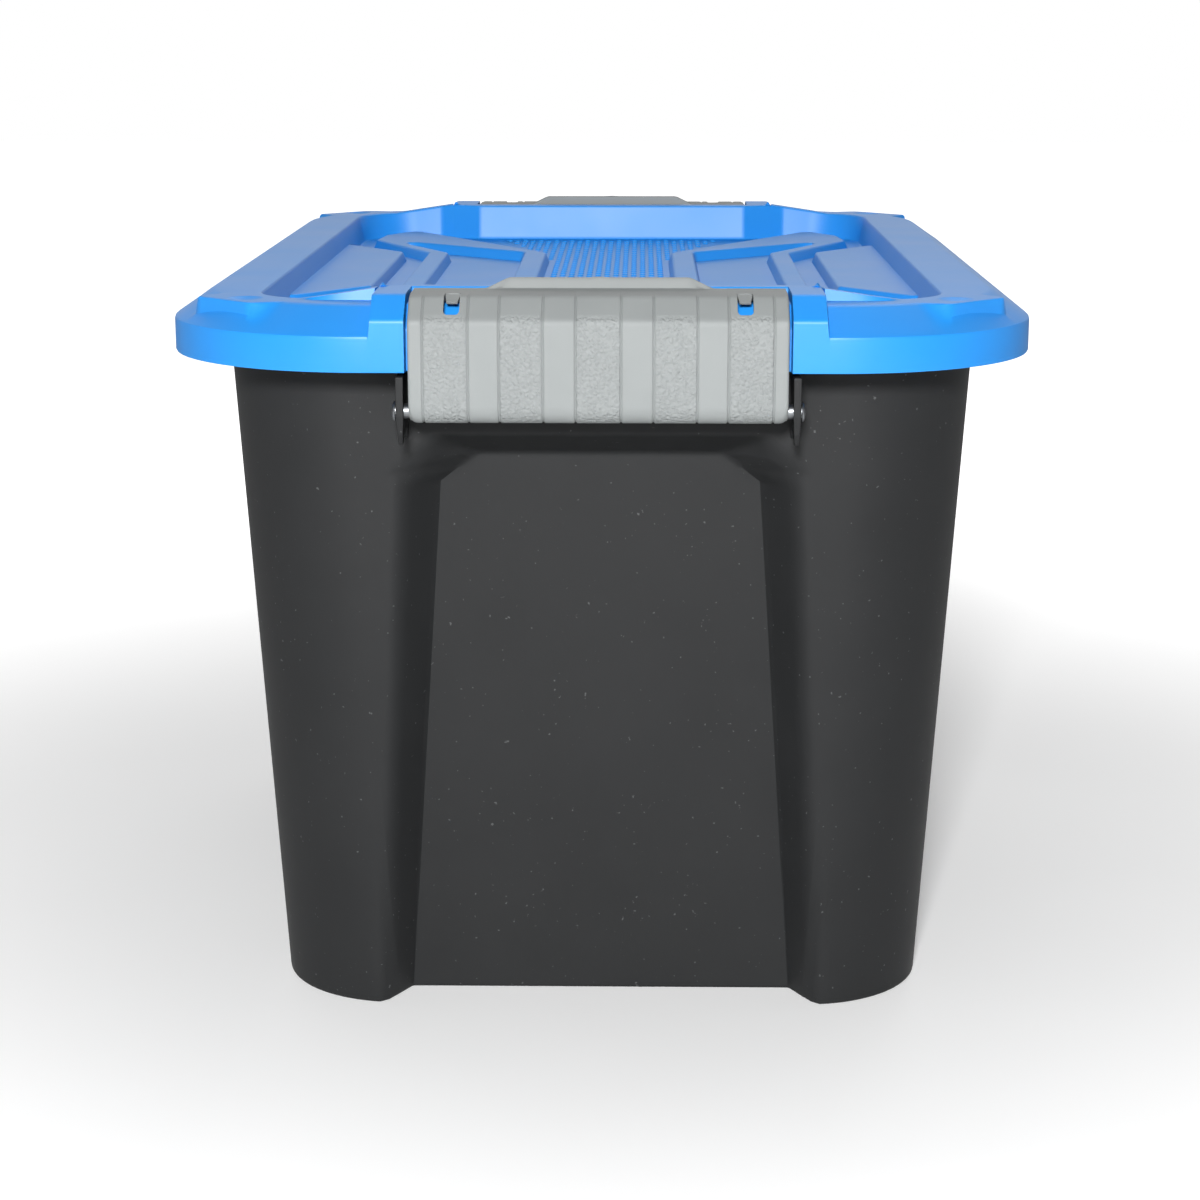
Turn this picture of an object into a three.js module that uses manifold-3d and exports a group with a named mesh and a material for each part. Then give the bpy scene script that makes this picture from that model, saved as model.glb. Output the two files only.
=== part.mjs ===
// Heavy-duty storage tote: a drafted tub, a lift-off lid with a sunken tray top,
// and one clamping latch at each end, hinged on steel pins in the tub's ears.
// Millimetres. Z is up, Y runs along the tote, X across it. The origin is at the
// centre of the tub's base. Both ends are alike, so most parts are made for the
// front end (-Y) and turned half a turn for the rear end.

import * as THREE from 'three';
import { mergeVertices } from 'three/addons/utils/BufferGeometryUtils.js';
import Module from 'manifold-3d';

const wasm = await Module();
wasm.setup();

// ---------------------------------------------------------------- driving sizes
const LID_LENGTH = 610;          // across the two end skirts
const LID_WIDTH = 430;
const LID_CORNER = 103;          // plan radius of the skirt
const LID_WALL = 2.8;
const GAP = 0.3;                 // between pieces that rest on each other

const SKIRT_BOTTOM = 334.5;
const SKIRT_TOP = 351.3;         // the shoulder starts here
const RIM_TOP = 364.5;           // flat rim round the tray
const SHOULDER_IN_X = 19;        // how far the shoulder leans in
const SHOULDER_IN_Y = 22;

const TRAY_HALF_X = 168.4;       // tray mouth at the rim
const TRAY_HALF_Y = 259;
const TRAY_CORNER = 36;
const TRAY_FLOOR = 347.6;
const TRAY_DRAFT = 4;            // how far the tray wall leans in over its depth
const RELIEF_TOP = 353.5;        // top of the plateaus and the loop rib

const RIDGE_TOP = 370.3;         // raised sill behind each latch
const RIDGE_OUT = 47;            // its two faces, measured in from the end skirt
const RIDGE_IN = 57;
const BOSS_OUTER = 107.5;        // half width of the raised latch section
const POCKET_HALF = 91;          // half width of the pocket that takes the latch
const POCKET_TOP = 365.5;
const FACE_BREAK = 359;          // height where the end face starts to lean in

const TUB_HALF_X = 167.2;        // tub at its base
const TUB_HALF_Y = 256.2;
const TUB_CORNER = 63;
const TUB_DRAFT_X = 0.0573;      // growth of each long side per unit of height
const TUB_DRAFT_Y = 0.043;       // growth of each end
const TUB_WALL = 3;
const TUB_TOP = RIM_TOP - LID_WALL - GAP;
const FLANGE_THICK = 3;
const FLANGE_REACH_X = 192;
const FLANGE_REACH_Y = 280;
const FLANGE_CORNER = 83;
const FLANGE_LIP_BOTTOM = 345;

const PANEL_DEPTH = 24.2;        // recess in the end and side walls

const PIVOT_IN = 7;              // latch pivot, in from the end skirt
const PIVOT_Z = 315.6;
const PIN_RADIUS = 3.5;
const BORE_RADIUS = 3.8;
const PIN_HEAD_RADIUS = 4.8;
const PIN_HEAD_THICK = 1.8;
const PIN_TIP_X = 82.5;

const EAR_INNER = 91.9;          // ears stand between the latch and the boss
const EAR_OUTER = 95.8;
const EAR_TIP_Z = 299;

const LATCH_HALF = 89.5;
const LATCH_FACE = -2;           // the grip face stands 2 mm proud of the skirt
const LATCH_BOTTOM = 310;
const LATCH_TOP = 369.8;
const LATCH_WALL = 3;
const LATCH_LIP_IN = 42.5;       // inner end of the lip that holds the lid down
const LATCH_CURL = 9.2;          // radius where the face turns under
const TAB_TOP = 375.7;
const TAB_HALF_TOP = 41;
const TAB_HALF_BASE = 54;
const SLOT_INNER = 65.2;         // moulding windows over the lip
const SLOT_OUTER = 72.8;

const END = LID_LENGTH / 2;      // Y of the end skirt

// ---------------------------------------------------------------- small helpers
function toSolid(geometry) {
  const bare = geometry.index ? geometry.clone() : geometry;
  bare.deleteAttribute('normal');
  bare.deleteAttribute('uv');
  const merged = mergeVertices(bare, 1e-4);
  return new wasm.Manifold(new wasm.Mesh({
    numProp: 3,
    vertProperties: new Float32Array(merged.attributes.position.array),
    triVerts: new Uint32Array(merged.index.array),
  }));
}

function toGeometry(solid) {
  const mesh = solid.getMesh();
  const geometry = new THREE.BufferGeometry();
  geometry.setAttribute('position', new THREE.BufferAttribute(new Float32Array(mesh.vertProperties), 3));
  geometry.setIndex(new THREE.BufferAttribute(new Uint32Array(mesh.triVerts), 1));
  geometry.computeVertexNormals();
  return geometry;
}

function outline(points) {
  return new THREE.Shape(points.map(([x, y]) => new THREE.Vector2(x, y)));
}

function roundedRectangle(halfX, halfY, radius) {
  const shape = new THREE.Shape();
  shape.absarc(halfX - radius, halfY - radius, radius, 0, Math.PI / 2);
  shape.absarc(-halfX + radius, halfY - radius, radius, Math.PI / 2, Math.PI);
  shape.absarc(-halfX + radius, -halfY + radius, radius, Math.PI, Math.PI * 1.5);
  shape.absarc(halfX - radius, -halfY + radius, radius, Math.PI * 1.5, Math.PI * 2);
  return shape;
}

// An upright prism from bottom to top.
function upright(shape, bottom, top, curveSegments = 8) {
  const depth = top - bottom;
  const geometry = new THREE.ExtrudeGeometry(shape, { depth, bevelEnabled: false, curveSegments });
  return geometry.translate(0, 0, bottom);
}

// A rounded block whose top outline differs from its bottom outline. An outline is
// [half width, half length, corner radius].
function drafted(bottomOutline, topOutline, bottom, top) {
  const [halfX, halfY, radius] = bottomOutline;
  const [topX, topY, topRadius] = topOutline;
  const geometry = upright(roundedRectangle(halfX, halfY, radius), bottom, top);
  const position = geometry.attributes.position;
  const moved = (value, half, topHalf) => {
    const along = (Math.abs(value) - (half - radius)) / radius;
    return Math.sign(value) * (topHalf - topRadius + topRadius * along);
  };
  for (let i = 0; i < position.count; i += 1) {
    if (position.getZ(i) > (bottom + top) / 2) {
      position.setXY(i, moved(position.getX(i), halfX, topX), moved(position.getY(i), halfY, topY));
    }
  }
  return toSolid(geometry);
}

// A profile of [inset from the end skirt, height] pairs, extruded across the front end.
function acrossFront(profile, fromX, toX) {
  const shape = outline(profile.map(([inset, z]) => [inset - END, z]));
  const geometry = new THREE.ExtrudeGeometry(shape, { depth: toX - fromX, bevelEnabled: false });
  geometry.rotateX(Math.PI / 2).rotateZ(Math.PI / 2);
  return toSolid(geometry.translate(fromX, 0, 0));
}

// A short cylinder along X.
function rodAlongX(radius, fromX, toX, insetFromEnd, z, sides = 24) {
  const geometry = new THREE.CylinderGeometry(radius, radius, toX - fromX, sides);
  geometry.rotateZ(Math.PI / 2);
  return toSolid(geometry.translate((fromX + toX) / 2, insetFromEnd - END, z));
}

function box(fromX, toX, fromY, toY, fromZ, toZ) {
  const geometry = new THREE.BoxGeometry(toX - fromX, toY - fromY, toZ - fromZ);
  return toSolid(geometry.translate((fromX + toX) / 2, (fromY + toY) / 2, (fromZ + toZ) / 2));
}

function joined(solids) {
  return solids.reduce((sum, solid) => sum.add(solid));
}

// The same solid made for the front end and for the rear end.
function bothEnds(solid) {
  const rear = toGeometry(solid).rotateZ(Math.PI);
  return solid.add(toSolid(rear));
}

// Moves every side of a polygon inwards by a distance.
function insetPolygon(points, distance) {
  if (distance === 0) return points;
  const winding = Math.sign(THREE.ShapeUtils.area(points.map(([x, y]) => new THREE.Vector2(x, y))));
  const edges = points.map(([x, y], i) => {
    const [nextX, nextY] = points[(i + 1) % points.length];
    const length = Math.hypot(nextX - x, nextY - y);
    const directionX = (nextX - x) / length;
    const directionY = (nextY - y) / length;
    const shift = distance * winding;
    return { x: x - directionY * shift, y: y + directionX * shift, directionX, directionY };
  });
  return edges.map((edge, i) => {
    const before = edges[(i + edges.length - 1) % edges.length];
    const cross = before.directionX * edge.directionY - before.directionY * edge.directionX;
    const t = ((edge.x - before.x) * edge.directionY - (edge.y - before.y) * edge.directionX) / cross;
    return [before.x + before.directionX * t, before.y + before.directionY * t];
  });
}

// A solid between two outlines with the same number of points, in planes of constant Y.
function betweenOutlines(nearPoints, nearY, farPoints, farY) {
  const geometry = new THREE.ExtrudeGeometry(outline(nearPoints), { depth: 1, bevelEnabled: false });
  const position = geometry.attributes.position;
  for (let i = 0; i < position.count; i += 1) {
    const index = nearPoints.findIndex(([x, z]) => (
      Math.hypot(x - position.getX(i), z - position.getY(i)) < 1e-3));
    const isNear = position.getZ(i) > 0.5;
    const [x, z] = isNear ? nearPoints[index] : farPoints[index];
    position.setXYZ(i, x, z, -(isNear ? nearY(z) : farY(z)));
  }
  geometry.rotateX(Math.PI / 2);
  return toSolid(geometry);
}

// ---------------------------------------------------------------- tub
// The recess in a wall: a trapezoid panel with clipped top corners, set back behind
// sloping sides and a sloping ledge. It is made for a wall that faces -Y, about its middle.
function wallRecess(wallHalf, draft, panel, grow) {
  const outside = 6;
  const spread = outside / PANEL_DEPTH;
  const panelPoints = [
    [-panel.bottom - grow, -10],
    [panel.bottom + grow, -10],
    [panel.top + grow, panel.shoulderZ],
    [panel.clipped + grow, panel.topZ + grow],
    [-panel.clipped - grow, panel.topZ + grow],
    [-panel.top - grow, panel.shoulderZ],
  ];
  const mouthPoints = [
    [-panel.bottom - panel.flare - grow, -10],
    [panel.bottom + panel.flare + grow, -10],
    [panel.top + panel.flare * 1.3 + grow, panel.shoulderZ + 8],
    [panel.clipped + panel.flare * 1.3 + grow, panel.ledgeZ + grow],
    [-panel.clipped - panel.flare * 1.3 - grow, panel.ledgeZ + grow],
    [-panel.top - panel.flare * 1.3 - grow, panel.shoulderZ + 8],
  ];
  const outerPoints = mouthPoints.map(([x, z], i) => {
    const [panelX, panelZ] = panelPoints[i];
    return [x + (x - panelX) * spread, z + (z - panelZ) * spread];
  });
  const wallY = (z) => -(wallHalf + z * draft);
  const panelY = (z) => wallY(z) + PANEL_DEPTH + grow;
  return betweenOutlines(outerPoints, (z) => wallY(z) - outside, panelPoints, panelY);
}

const PANEL_HEIGHTS = { shoulderZ: 272.3, topZ: 287, ledgeZ: 299.5, flare: 13 };
const END_PANEL = { bottom: 97.9, top: 79.3, clipped: 60.5, ...PANEL_HEIGHTS };
const SIDE_PANEL = { bottom: 72, top: 58, clipped: 42, ...PANEL_HEIGHTS };
const SIDE_PANEL_MIDDLE = 97;    // two panels on each long side, this far from its middle

function recesses(grow) {
  const front = wallRecess(TUB_HALF_Y, TUB_DRAFT_Y, END_PANEL, grow);
  const side = toGeometry(wallRecess(TUB_HALF_X, TUB_DRAFT_X, SIDE_PANEL, grow));
  const sides = [-SIDE_PANEL_MIDDLE, SIDE_PANEL_MIDDLE].map((middle) => toSolid(
    side.clone().translate(middle, 0, 0).rotateZ(Math.PI / 2)));
  return bothEnds(joined([front, ...sides]));
}

// Ears hold the pins. Each is a plate under the flange that reaches out beside the latch.
function earPlate(side) {
  const profile = [
    [38, EAR_TIP_Z - 2], [38, TUB_TOP - 1], [30, TUB_TOP - 1], [25.5, 352], [25.5, 333],
    [1, 332.6], [0.8, 312], [2.2, 304], [4.5, EAR_TIP_Z + 1], [7, EAR_TIP_Z], [12, EAR_TIP_Z + 2],
  ];
  const [fromX, toX] = side > 0 ? [EAR_INNER, EAR_OUTER] : [-EAR_OUTER, -EAR_INNER];
  const hole = rodAlongX(BORE_RADIUS, fromX - 1, toX + 1, PIVOT_IN, PIVOT_Z);
  return acrossFront(profile, fromX, toX).subtract(hole);
}

// The drafted outline of the tub wall at a height, brought in by a distance.
function tubOutline(z, inward) {
  return [
    TUB_HALF_X + z * TUB_DRAFT_X - inward, TUB_HALF_Y + z * TUB_DRAFT_Y - inward, TUB_CORNER - inward,
  ];
}

function tub() {
  const outer = drafted(tubOutline(0, 0), tubOutline(TUB_TOP, 0), 0, TUB_TOP);
  const over = TUB_TOP + 1;
  const inner = drafted(tubOutline(TUB_WALL, TUB_WALL), tubOutline(over, TUB_WALL), TUB_WALL, over);
  const rim = [FLANGE_REACH_X, FLANGE_REACH_Y, FLANGE_CORNER];
  const rimInside = rim.map((value) => value - TUB_WALL);
  const flange = drafted(rim, rim, FLANGE_LIP_BOTTOM, TUB_TOP);
  const underFlange = drafted(rimInside, rimInside, FLANGE_LIP_BOTTOM - 1, TUB_TOP - FLANGE_THICK);
  const wall = outer.subtract(recesses(0)).add(flange.subtract(underFlange));
  const cavity = inner.subtract(recesses(TUB_WALL));
  const ears = bothEnds(joined([earPlate(1), earPlate(-1)]));
  return wall.add(ears).subtract(cavity);
}

// ---------------------------------------------------------------- lid
// The lid is a shell: its outer shape less the same shape brought in by the wall.
// In these functions inward is 0 for the outer shape and the wall for the inner one.
function lidBody(inward) {
  const edge = [LID_WIDTH / 2, END, LID_CORNER].map((value) => value - inward);
  const rim = [edge[0] - SHOULDER_IN_X, edge[1] - SHOULDER_IN_Y, edge[2] - SHOULDER_IN_X];
  const start = inward > 0 ? SKIRT_BOTTOM - 5 : SKIRT_BOTTOM;
  const breakZ = SKIRT_TOP - inward * 0.6;
  const skirt = drafted(edge, edge, start, breakZ);
  const shoulder = drafted(edge, rim, breakZ, RIM_TOP - inward);
  const section = acrossFront([
    [inward, start], [inward, FACE_BREAK - inward * 0.4], [15.5 + inward * 0.4, RIDGE_TOP - inward],
    [RIDGE_IN - inward, RIDGE_TOP - inward], [RIDGE_IN - inward, start],
  ], -BOSS_OUTER + inward, BOSS_OUTER - inward);
  return joined([skirt, shoulder, bothEnds(section)]);
}

// The pocket at each end, which the latch closes over.
function latchPocket(outward) {
  const air = 20;
  return bothEnds(acrossFront([
    [-air, SKIRT_BOTTOM - air], [7 + outward, SKIRT_BOTTOM - air], [7 + outward, 354.5],
    [17 + outward, POCKET_TOP - outward], [RIDGE_OUT + outward, POCKET_TOP - outward],
    [RIDGE_OUT + outward, RIDGE_TOP + air], [-air, RIDGE_TOP + air],
  ], -POCKET_HALF - outward, POCKET_HALF + outward));
}

// Side plateaus and the loop rib that stand up from the tray floor, as quarter outlines
// in the +X, +Y quarter.
const PLATEAU = [[125, 0], [125, 98], [166, 152], [185, 152], [185, 0]];
const LOOP_OUTER = [
  [113, 0], [113, 93], [154, 178], [151, 216], [136, 246], [126, 246], [42, 104], [36.5, 94], [36.5, 0],
];
const LOOP_INNER = [[97, 0], [97, 93], [137, 171], [54, 97], [54, 0]];

function mirroredInY(quarter) {
  const far = quarter.filter(([, y]) => y > 0);
  return [...far, ...far.map(([x, y]) => [x, -y]).reverse()];
}

function relief(inward) {
  const solids = [];
  for (const side of [1, -1]) {
    const place = (quarter) => mirroredInY(quarter).map(([x, y]) => [x * side, y]);
    const low = TRAY_FLOOR - 10;
    const high = RELIEF_TOP - inward;
    const plateau = toSolid(upright(outline(insetPolygon(place(PLATEAU), inward)), low, high));
    const loop = toSolid(upright(outline(insetPolygon(place(LOOP_OUTER), inward)), low, high));
    const well = toSolid(upright(outline(insetPolygon(place(LOOP_INNER), -inward)), low - 1, high + 1));
    solids.push(plateau, loop.subtract(well));
  }
  return joined(solids);
}

function tray(outward) {
  const floor = TRAY_FLOOR - outward;
  const mouthZ = RIDGE_TOP + 5;
  const lean = TRAY_DRAFT / (RIM_TOP - TRAY_FLOOR);
  const outlineAt = (z) => [TRAY_HALF_X, TRAY_HALF_Y, TRAY_CORNER].map(
    (value) => value + outward + (z - RIM_TOP) * lean);
  const hollow = drafted(outlineAt(floor), outlineAt(mouthZ), floor, mouthZ);
  const sillPoints = insetPolygon(
    [[-115, -END], [-115, -TRAY_HALF_Y - 1], [-89, -END + RIDGE_IN], [89, -END + RIDGE_IN],
      [115, -TRAY_HALF_Y - 1], [115, -END]], outward);
  const sill = bothEnds(toSolid(upright(outline(sillPoints), floor - 1, mouthZ + 1)));
  return hollow.subtract(sill).subtract(relief(outward));
}

function lid() {
  const shape = (inward) => lidBody(inward).subtract(tray(inward)).subtract(latchPocket(inward));
  return shape(0).subtract(shape(LID_WALL));
}

// ---------------------------------------------------------------- latch and pins
function arc(centreIn, centreZ, radius, fromDegrees, toDegrees, steps) {
  return Array.from({ length: steps + 1 }, (_, i) => {
    const angle = THREE.MathUtils.degToRad(fromDegrees + (toDegrees - fromDegrees) * i / steps);
    return [centreIn + radius * Math.cos(angle), centreZ + radius * Math.sin(angle)];
  });
}

function latch() {
  const curlIn = LATCH_FACE + LATCH_CURL;
  const curlZ = LATCH_BOTTOM + LATCH_CURL;
  const plate = acrossFront([
    ...arc(curlIn, curlZ, LATCH_CURL, 270, 180, 6),
    [LATCH_FACE, FACE_BREAK], [11, LATCH_TOP], [LATCH_LIP_IN, LATCH_TOP],
    [LATCH_LIP_IN, LATCH_TOP - LATCH_WALL], [12.2, LATCH_TOP - LATCH_WALL],
    [LATCH_FACE + LATCH_WALL, FACE_BREAK - 1.2],
    ...arc(curlIn, curlZ, LATCH_CURL - LATCH_WALL, 180, 270, 6),
    [12.5, LATCH_BOTTOM + LATCH_WALL], [12.5, LATCH_BOTTOM],
  ], -LATCH_HALF, LATCH_HALF);
  const tabShape = outline([
    [-TAB_HALF_BASE, LATCH_TOP - 1], [TAB_HALF_BASE, LATCH_TOP - 1], [TAB_HALF_TOP, TAB_TOP],
    [-TAB_HALF_TOP, TAB_TOP],
  ]);
  const tabGeometry = new THREE.ExtrudeGeometry(tabShape, { depth: LATCH_WALL, bevelEnabled: false });
  const tab = toSolid(tabGeometry.rotateX(Math.PI / 2).translate(0, LATCH_LIP_IN - END, 0));
  const knuckleProfile = [
    [0, LATCH_BOTTOM + 5], [curlIn - 1, LATCH_BOTTOM + 1], [12.5, LATCH_BOTTOM + 1],
    [13, 318], [9, 322], [0, 328],
  ];
  const knuckles = joined([-1, 1].map((side) => {
    const [fromX, toX] = side > 0 ? [80.5, LATCH_HALF] : [-LATCH_HALF, -80.5];
    return acrossFront(knuckleProfile, fromX, toX);
  }));
  const ribs = joined([-61.2, -26, 0, 26, 61.2].map((x) => acrossFront([
    [0, FACE_BREAK - 4], [0, 318], [3.4, 318], [3.4, FACE_BREAK - 4],
  ], x - 1.1, x + 1.1)));
  const slots = joined([-1, 1].map((side) => {
    const [fromX, toX] = side > 0 ? [SLOT_INNER, SLOT_OUTER] : [-SLOT_OUTER, -SLOT_INNER];
    return box(fromX, toX, -END - 5, -END + 24, FACE_BREAK + 4, LATCH_TOP + 1);
  }));
  const bore = rodAlongX(BORE_RADIUS, -LATCH_HALF - 1, LATCH_HALF + 1, PIVOT_IN, PIVOT_Z);
  return joined([plate, tab, knuckles, ribs]).subtract(slots).subtract(bore);
}

// A headed pin along +X, its head outside the ear.
function pivotPin() {
  const head = EAR_OUTER + GAP;
  const profile = [
    [0, PIN_TIP_X], [PIN_RADIUS - 0.6, PIN_TIP_X], [PIN_RADIUS, PIN_TIP_X + 0.6], [PIN_RADIUS, head],
    [PIN_HEAD_RADIUS, head], [PIN_HEAD_RADIUS - 0.6, head + 1.1], [PIN_HEAD_RADIUS - 2.2, head + 1.6],
    [0, head + PIN_HEAD_THICK],
  ].map(([radius, x]) => new THREE.Vector2(radius, x));
  const geometry = new THREE.LatheGeometry(profile, 24);
  geometry.rotateZ(-Math.PI / 2).translate(0, PIVOT_IN - END, PIVOT_Z);
  return toSolid(geometry);
}

// ---------------------------------------------------------------- assembly
const charcoal = { color: 0x2f3133, roughness: 0.55, metalness: 0 };
const blue = { color: 0x1f86e8, roughness: 0.35, metalness: 0 };
const grey = { color: 0xa9adac, roughness: 0.5, metalness: 0 };
const steel = { color: 0xb9bcc0, roughness: 0.3, metalness: 1 };

function piece(name, geometry, finish) {
  const mesh = new THREE.Mesh(geometry, new THREE.MeshStandardMaterial(finish));
  mesh.name = name;
  return mesh;
}

const tote = new THREE.Group();
tote.add(piece('tub', toGeometry(tub()), charcoal));
tote.add(piece('lid', toGeometry(lid()), blue));

const latchGeometry = toGeometry(latch());
const pinGeometry = toGeometry(pivotPin());
for (const [end, turn] of [['front', 0], ['rear', Math.PI]]) {
  const station = new THREE.Group();
  station.rotation.z = turn;
  station.add(piece(`latch_${end}`, latchGeometry, grey));
  const near = piece(`pivot_pin_${end}_a`, pinGeometry, steel);
  const far = piece(`pivot_pin_${end}_b`, pinGeometry, steel);
  far.rotation.z = Math.PI;
  far.position.y = 2 * (PIVOT_IN - END);
  station.add(near, far);
  tote.add(station);
}

export default tote;
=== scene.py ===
from math import atan2, cos, hypot, pi, radians, sin, sqrt
import bmesh
import bpy
from mathutils import Matrix, Vector


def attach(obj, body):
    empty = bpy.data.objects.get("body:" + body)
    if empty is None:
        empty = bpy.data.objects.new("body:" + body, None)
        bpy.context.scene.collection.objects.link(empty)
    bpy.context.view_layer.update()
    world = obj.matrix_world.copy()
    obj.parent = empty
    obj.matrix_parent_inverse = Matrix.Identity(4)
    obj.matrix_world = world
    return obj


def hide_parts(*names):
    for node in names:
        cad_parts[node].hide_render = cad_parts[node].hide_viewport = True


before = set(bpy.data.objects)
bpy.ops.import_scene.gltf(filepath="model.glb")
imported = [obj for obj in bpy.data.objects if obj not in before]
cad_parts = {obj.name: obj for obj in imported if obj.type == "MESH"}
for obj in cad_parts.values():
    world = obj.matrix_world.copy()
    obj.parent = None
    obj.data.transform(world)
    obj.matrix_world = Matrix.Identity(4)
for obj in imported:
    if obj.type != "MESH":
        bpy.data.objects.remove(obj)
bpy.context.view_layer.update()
print("frame loaded")

# Sizes below are millimetres in the tote's frame: Z up, Y along the tote, X across.
mm = 0.001
endY = 305.0            # Y of the lid's end skirts


# Small helpers

def clamp(value, low=0.0, high=1.0):
    return max(low, min(high, value))


def mix(a, b, t):
    return a + (b - a) * t


def ease(t):
    t = clamp(t)
    return t * t * (3 - 2 * t)


def rolled(t, mouthRoll, footRoll):    # a 0-to-1 ramp with both ends rounded
    if t < mouthRoll:
        return 0.0 if t < -mouthRoll else (t + mouthRoll) ** 2 / (4 * mouthRoll)
    if t > 1 - footRoll:
        return 1.0 if t > 1 + footRoll else 1 - (1 + footRoll - t) ** 2 / (4 * footRoll)
    return t


def softMin(a, b, blend):
    h = clamp(0.5 + 0.5 * (b - a) / blend)
    return mix(b, a, h) - blend * h * (1 - h)


def linearColour(code):                # sRGB hex to the linear values that sockets take
    channels = [int(code[i:i + 2], 16) / 255 for i in (1, 3, 5)]
    return [c / 12.92 if c <= 0.04045 else ((c + 0.055) / 1.055) ** 2.4 for c in channels] + [1.0]


def addNode(tree, kind, settings=None, values=None, links=None):
    made = tree.nodes.new(kind)
    for name, value in (settings or {}).items():
        setattr(made, name, value)
    for socket, value in (values or {}).items():
        made.inputs[socket].default_value = value
    for socket, source in (links or {}).items():
        tree.links.new(source, made.inputs[socket])
    return made


def newMaterial(name, values):
    material = bpy.data.materials.new(name)
    material.use_nodes = True
    tree = material.node_tree
    tree.nodes.clear()
    shader = addNode(tree, "ShaderNodeBsdfPrincipled", values=values)
    addNode(tree, "ShaderNodeOutputMaterial", links={"Surface": shader.outputs["BSDF"]})
    place = addNode(tree, "ShaderNodeTexCoord").outputs["Object"]
    return material, tree, shader, place


def nextRing(bm, ring, places):        # extrudes an open loop and sets the new loop down on its places
    edges = [bm.edges.get((v, ring[i - 1])) for i, v in enumerate(ring)]
    grown = bmesh.ops.extrude_edge_only(bm, edges=edges)["geom"]
    fresh = {v for v in grown if isinstance(v, bmesh.types.BMVert)}
    partner = {}
    for v in fresh:
        for edge in v.link_edges:
            if edge.other_vert(v) not in fresh:
                partner[edge.other_vert(v)] = v
    following = [partner[v] for v in ring]
    for v, place in zip(following, places):
        v.co = place
    return following


def loft(bm, rings):                   # a skin over a list of closed rings of points
    first = bmesh.ops.create_circle(bm, segments=len(rings[0]), radius=1)["verts"]
    ring = sorted(first, key=lambda v: atan2(v.co.y, v.co.x))
    for v, place in zip(ring, rings[0]):
        v.co = place
    firstRing = ring
    for places in rings[1:]:
        ring = nextRing(bm, ring, places)
    return firstRing, ring


def capRing(bm, ring):
    edges = [bm.edges.get((v, ring[i - 1])) for i, v in enumerate(ring)]
    return bmesh.ops.triangle_fill(bm, edges=edges, use_beauty=True)


def toMesh(bm, name):
    mesh = bpy.data.meshes.new(name)
    bm.to_mesh(mesh)
    bm.free()
    return mesh


def cutBy(mesh, cutters, name):        # takes the cutters out of a mesh
    body = bpy.data.objects.new(name + "_raw", mesh)
    tool = bpy.data.objects.new(name + "_cut", cutters)
    for part in (body, tool):
        bpy.context.scene.collection.objects.link(part)
    cut = body.modifiers.new("cut", "BOOLEAN")
    cut.operation = "DIFFERENCE"
    cut.object = tool
    cut.solver = "EXACT"
    bpy.context.view_layer.update()
    shown = body.evaluated_get(bpy.context.evaluated_depsgraph_get())
    result = bpy.data.meshes.new_from_object(shown)
    for part in (body, tool):
        bpy.data.objects.remove(part)
    return result


def finishPiece(mesh, name, material, body, nodes, smoothAngle=40):
    mesh.transform(Matrix.Scale(mm, 4))
    mesh.name = name
    mesh.materials.clear()
    mesh.materials.append(material)
    mesh.shade_smooth()
    mesh.set_sharp_from_angle(angle=radians(smoothAngle))
    piece = bpy.data.objects.new(name, mesh)
    bpy.context.scene.collection.objects.link(piece)
    weighted = piece.modifiers.new("evenShading", "WEIGHTED_NORMAL")
    weighted.keep_sharp = True
    weighted.weight = 60
    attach(piece, body)
    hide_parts(*nodes)
    return piece


def halfTurn(points):                  # the same points seen from the other end of the tote
    return points + [Vector((-p.x, -p.y, p.z)) for p in points]


# Materials

finish = {
    "tubColour": "#202122", "tubLight": "#272829", "tubGrainMm": 0.45, "tubGrainDepthMm": 0.06,
    "tubCloudMm": 45, "speckMm": 2.2, "speckColour": "#8a8c8e",
    "lidColour": "#1c87dc", "lidLight": "#2591e6", "lidFlowMm": 60, "lidGrainMm": 0.8,
    "fineDepthMm": 0.04,
    "latchColour": "#868a8a", "latchLight": "#8e9292", "pebbleMm": 1.5, "pebbleDepthMm": 0.75,
    "latchCloudMm": 30, "warpMm": 3.0, "warpReachMm": 1.6, "fineGrainMm": 0.9,
    "grainTopMm": (362, 360.5),        # the leather grain fades out between these heights
    "pinColour": "#9a9da0", "pinDark": "#84878a", "pinStreakMm": 4, "pinStreakDepthMm": 0.05,
}


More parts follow.
